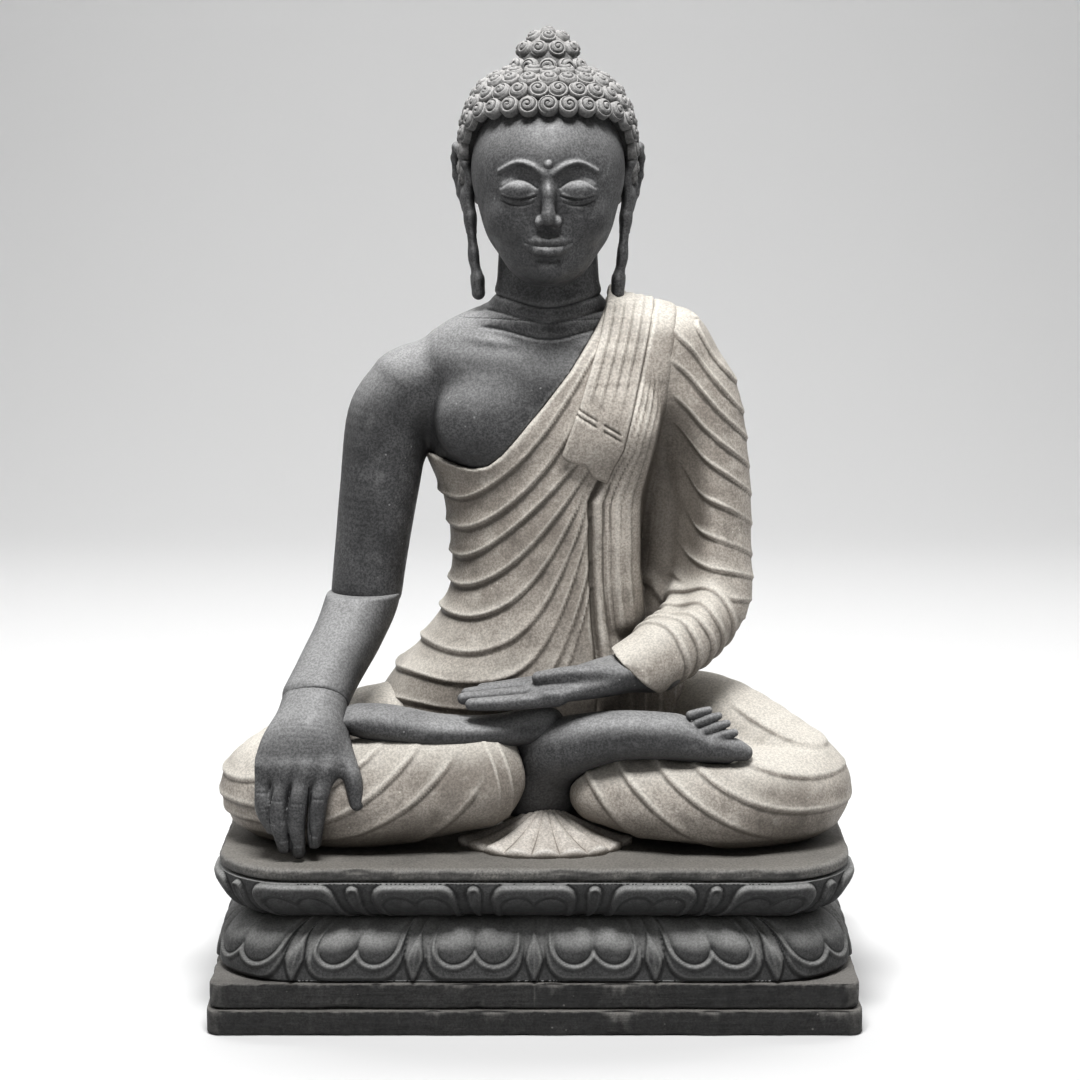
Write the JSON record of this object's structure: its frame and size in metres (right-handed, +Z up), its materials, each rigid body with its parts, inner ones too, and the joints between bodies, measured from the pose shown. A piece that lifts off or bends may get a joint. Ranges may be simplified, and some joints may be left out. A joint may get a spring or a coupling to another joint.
{
  "type": "seated buddha statue",
  "caption": "Life-size seated Buddha statue in jointed stone, lotus posture with the right hand reaching to the ground, on a double lotus pedestal.",
  "frame": {"origin": "centre of the underside of the bottom plinth course, on the ground", "axes": "+Z up, the figure faces -Y, and +X is the figure's own left"},
  "size_m": [0.796, 0.5, 1.2],
  "materials": {
    "skin_stone": "honed dark speckled granite",
    "hair_stone": "dark granite, chiselled and lightly weathered",
    "robe_stone": "bush-hammered pale warm speckled stone, darker in the folds",
    "pedestal_stone": "rough weathered dark granite",
    "seat_stone": "rough dressed pale grey stone",
    "mortar": "raked lime mortar",
    "dowel_steel": "stainless steel bar set in epoxy"
  },
  "bodies": {
    "root": {"plinth_lower_course": "pedestal_stone", "plinth_upper_course": "pedestal_stone", "lotus_lower_tier": "pedestal_stone", "lotus_upper_tier": "pedestal_stone", "seat_slab": "seat_stone", "plinth_mortar_bed": "mortar", "lotus_lower_mortar_bed": "mortar", "lotus_waist_mortar_bed": "mortar", "seat_mortar_bed": "mortar", "plinth_dowels": "dowel_steel", "lotus_lower_dowels": "dowel_steel", "lotus_waist_dowels": "dowel_steel", "figure_dowels": "dowel_steel", "right_leg": "robe_stone", "left_leg": "robe_stone", "right_foot": "skin_stone", "left_foot": "skin_stone", "pleated_apron": "robe_stone", "torso_robe": "robe_stone", "bare_chest": "skin_stone", "shoulder_sash": "robe_stone", "left_sleeve": "robe_stone", "left_hand": "skin_stone", "right_upper_arm": "skin_stone", "right_forearm": "skin_stone", "right_hand": "skin_stone", "neck": "skin_stone", "head": "skin_stone", "right_ear": "skin_stone", "left_ear": "skin_stone", "hair_cap": "hair_stone", "ushnisha": "hair_stone", "hair_curls": "hair_stone", "neck_dowel": "dowel_steel", "waist_dowels": "dowel_steel", "shoulder_dowel": "dowel_steel", "elbow_dowel": "dowel_steel"}
  },
  "joints": []
}
